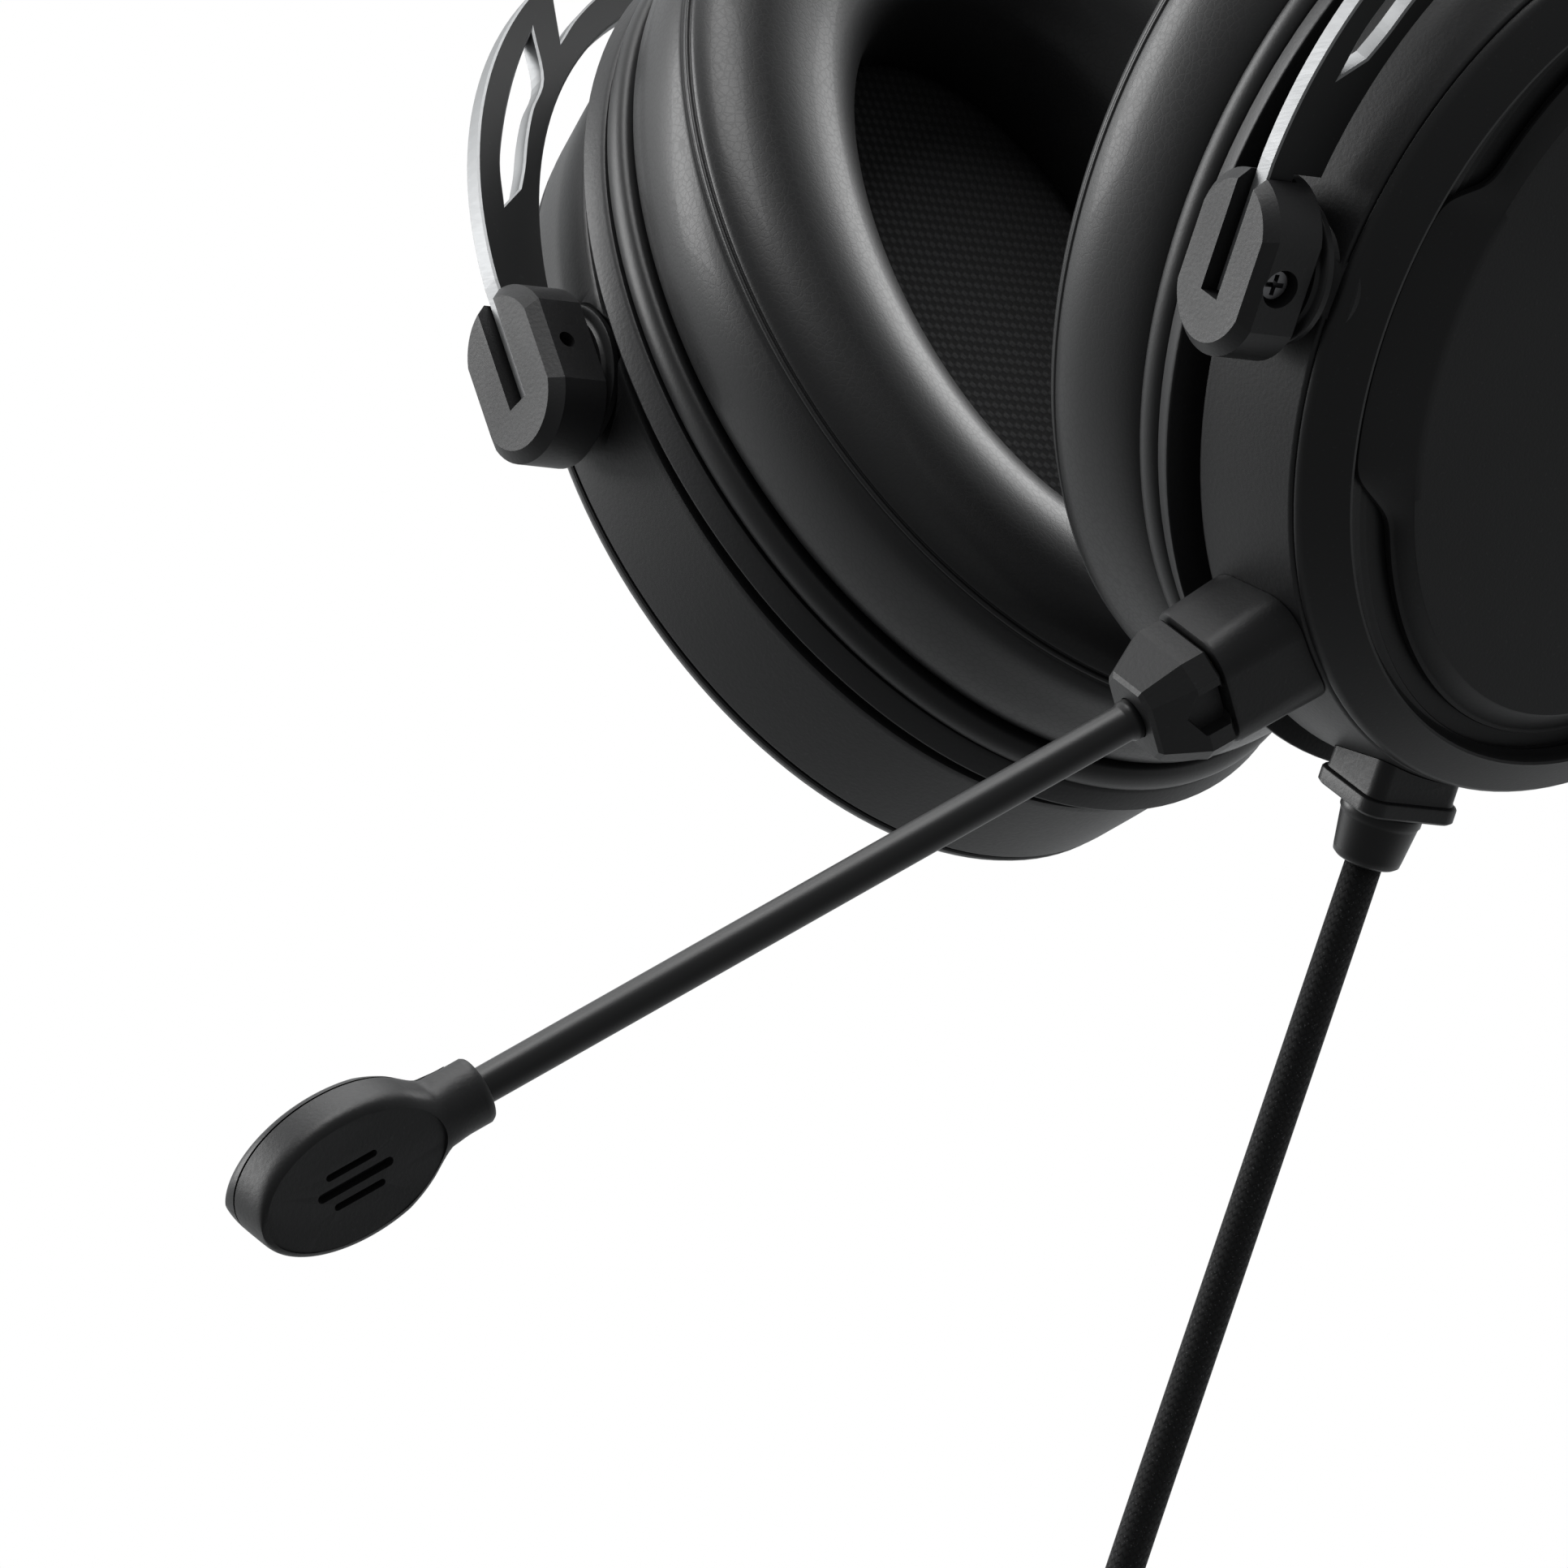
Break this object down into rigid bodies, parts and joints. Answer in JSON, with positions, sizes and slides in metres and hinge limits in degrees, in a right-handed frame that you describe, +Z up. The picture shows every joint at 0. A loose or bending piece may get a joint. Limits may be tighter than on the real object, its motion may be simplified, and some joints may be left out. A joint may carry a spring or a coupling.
{
  "type": "gaming headset",
  "caption": "Over-ear headset with padded ear cups on forked tilting yokes, sliding headband arms, a plug-in boom microphone and a braided lead with a jack plug.",
  "frame": {"origin": "where the underside of the headband cushion rests on the head, in the mid plane", "axes": "+Z up, the wearer faces -Y, the wearer's left is +X"},
  "size_m": [0.1946, 0.1802, 0.4588],
  "materials": {
    "matte_black_plastic": "matte",
    "black_nylon": "matte",
    "black_leatherette": "satin",
    "black_woven_scrim": "matte",
    "black_braid": "matte",
    "black_rubber": "satin",
    "bare_aluminium": "brushed",
    "dark_steel": "satin",
    "plated_brass": "polished",
    "circuit_board": "satin"
  },
  "bodies": {
    "headband": {"arm_cap_left": "matte_black_plastic", "arm_cap_right": "matte_black_plastic", "cap_screw_left": "dark_steel", "cap_screw_right": "dark_steel", "headband_cover": "matte_black_plastic", "headband_cushion": "black_leatherette", "headband_frame": "dark_steel", "slider_guide_left": "black_nylon", "slider_guide_right": "black_nylon"},
    "yoke_left": {"block_screw_front_left": "dark_steel", "block_screw_rear_left": "dark_steel", "fork_rivet_left": "dark_steel", "pivot_block_front_left": "matte_black_plastic", "pivot_block_rear_left": "matte_black_plastic", "slider_bar_left": "dark_steel", "yoke_fork_left": "bare_aluminium"},
    "yoke_right": {"block_screw_front_right": "dark_steel", "block_screw_rear_right": "dark_steel", "fork_rivet_right": "dark_steel", "pivot_block_front_right": "matte_black_plastic", "pivot_block_rear_right": "matte_black_plastic", "slider_bar_right": "dark_steel", "yoke_fork_right": "bare_aluminium"},
    "cup_left": {"audio_board": "circuit_board", "baffle_left": "matte_black_plastic", "body_shell_left": "matte_black_plastic", "coil_tie": "black_rubber", "cord": "black_braid", "cord_coil": "black_braid", "cord_gland": "matte_black_plastic", "cord_tail": "black_braid", "driver_left": "dark_steel", "ear_pad_left": "black_leatherette", "mic_boss": "matte_black_plastic", "outer_cover_left": "matte_black_plastic", "pad_ring_left": "matte_black_plastic", "pivot_disc_front_left": "matte_black_plastic", "pivot_disc_rear_left": "matte_black_plastic", "plug_body": "matte_black_plastic", "plug_pin": "plated_brass", "scrim_left": "black_woven_scrim", "side_plate_left": "matte_black_plastic", "strain_relief": "black_rubber"},
    "cup_right": {"baffle_right": "matte_black_plastic", "body_shell_right": "matte_black_plastic", "driver_right": "dark_steel", "ear_pad_right": "black_leatherette", "outer_cover_right": "matte_black_plastic", "pad_ring_right": "matte_black_plastic", "pivot_disc_front_right": "matte_black_plastic", "pivot_disc_rear_right": "matte_black_plastic", "scrim_right": "black_woven_scrim", "side_plate_right": "matte_black_plastic"},
    "microphone": {"mic_boom": "black_rubber", "mic_capsule": "dark_steel", "mic_connector": "matte_black_plastic", "mic_head_inner": "matte_black_plastic", "mic_head_outer": "matte_black_plastic", "mic_jack": "plated_brass"}
  },
  "joints": [
    {"name": "yoke_slide_left", "type": "slide", "parent": "headband", "child": "yoke_left", "axis": [0, 0, 1], "range_m": [-0.008, 0.012]},
    {"name": "yoke_slide_right", "type": "slide", "parent": "headband", "child": "yoke_right", "axis": [0, 0, 1], "range_m": [-0.008, 0.012]},
    {"name": "cup_tilt_left", "type": "hinge", "parent": "yoke_left", "child": "cup_left", "pos_m": [0.0612, 0, -0.15209], "axis": [0, -1, 0], "range_deg": [-1.5, 20]},
    {"name": "cup_tilt_right", "type": "hinge", "parent": "yoke_right", "child": "cup_right", "pos_m": [-0.0612, 0, -0.15209], "axis": [0, 1, 0], "range_deg": [-1.5, 20]},
    {"name": "mic_unplug", "type": "slide", "parent": "cup_left", "child": "microphone", "axis": [-0.2836, -0.8111, -0.5116], "range_m": [0, 0.012]}
  ]
}
